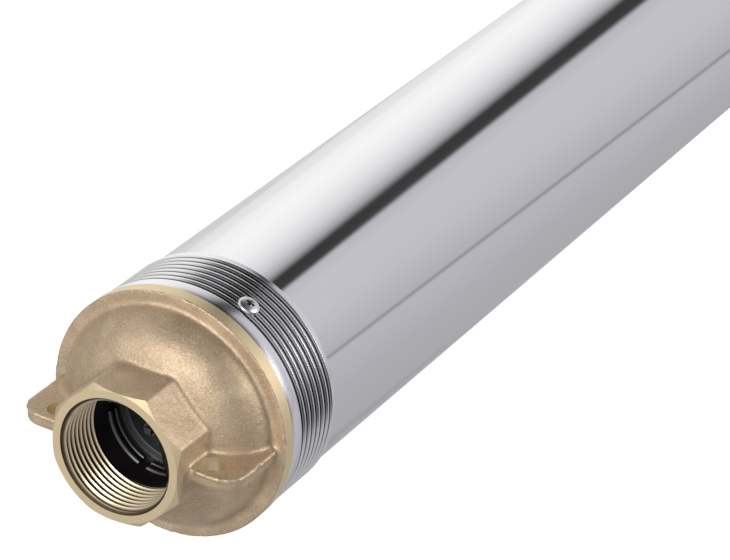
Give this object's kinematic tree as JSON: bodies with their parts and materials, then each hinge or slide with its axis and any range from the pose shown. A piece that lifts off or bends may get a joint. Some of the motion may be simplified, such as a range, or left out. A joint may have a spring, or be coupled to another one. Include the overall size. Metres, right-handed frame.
{
  "type": "submersible borehole pump",
  "caption": "Slim multistage submersible pump with a threaded brass outlet, steel shell, suction strainer and wet motor.",
  "frame": {"origin": "centre of the outlet's mouth", "axes": "+Z along the pump's axis, out of the outlet; +X through the two lifting lugs"},
  "size_m": [0.0912, 0.09, 0.9704],
  "materials": {
    "brass": "sand-cast, machined at the mouth and ring",
    "steel": "polished stainless sheet",
    "screw_steel": "bright stainless",
    "shaft_steel": "ground",
    "rubber": "moulded",
    "black_plastic": "moulded",
    "stage_plastic": "glass-filled",
    "impeller_plastic": "moulded",
    "stator_resin": "potted",
    "rotor_iron": "ground laminations",
    "ceramic": "lapped",
    "carbon": "lapped"
  },
  "bodies": {
    "pump_body": {"discharge_head": "brass", "pump_shell": "steel", "lock_screws": "screw_steel", "joint_orings": "rubber", "valve_cage": "black_plastic", "valve_seat": "shaft_steel", "valve_spring": "screw_steel", "valve_clip": "steel", "bearing_spider": "black_plastic", "upper_bearing_bush": "rubber", "stage_bowl_01": "stage_plastic", "stage_bowl_02": "stage_plastic", "stage_bowl_03": "stage_plastic", "stage_bowl_04": "stage_plastic", "stage_bowl_05": "stage_plastic", "stage_bowl_06": "stage_plastic", "stage_bowl_07": "stage_plastic", "stage_bowl_08": "stage_plastic", "stage_bowl_09": "stage_plastic", "stage_bowl_10": "stage_plastic", "stage_bowl_11": "stage_plastic", "stage_bowl_12": "stage_plastic", "suction_bracket": "brass", "suction_strainer": "steel", "strainer_screws": "screw_steel", "motor_bolts": "screw_steel", "motor_cover": "brass", "cable_gland": "brass", "seal_seat": "ceramic", "motor_upper_bush": "carbon", "motor_shell": "steel", "stator": "stator_resin", "lower_bearing_housing": "brass", "motor_lower_bush": "carbon", "thrust_bearing": "carbon", "diaphragm": "rubber", "motor_end_cap": "brass", "fill_plug": "screw_steel"},
    "rotor": {"pump_shaft": "shaft_steel", "impeller_01": "impeller_plastic", "impeller_02": "impeller_plastic", "impeller_03": "impeller_plastic", "impeller_04": "impeller_plastic", "impeller_05": "impeller_plastic", "impeller_06": "impeller_plastic", "impeller_07": "impeller_plastic", "impeller_08": "impeller_plastic", "impeller_09": "impeller_plastic", "impeller_10": "impeller_plastic", "impeller_11": "impeller_plastic", "impeller_12": "impeller_plastic", "shaft_coupling": "shaft_steel", "motor_shaft": "shaft_steel", "rotor_core": "rotor_iron", "seal_ring": "carbon", "sand_slinger": "rubber", "thrust_disc": "shaft_steel"},
    "valve": {"valve_poppet": "black_plastic", "valve_seal": "rubber"}
  },
  "joints": [
    {"name": "rotor_spin", "type": "hinge", "parent": "pump_body", "child": "rotor", "pos_m": [0, 0, -0.5382], "axis": [0, 0, 1], "continuous": true},
    {"name": "valve_lift", "type": "slide", "parent": "pump_body", "child": "valve", "axis": [0, 0, 1], "range_m": [0, 0.006], "deforming": ["valve_spring"]}
  ]
}
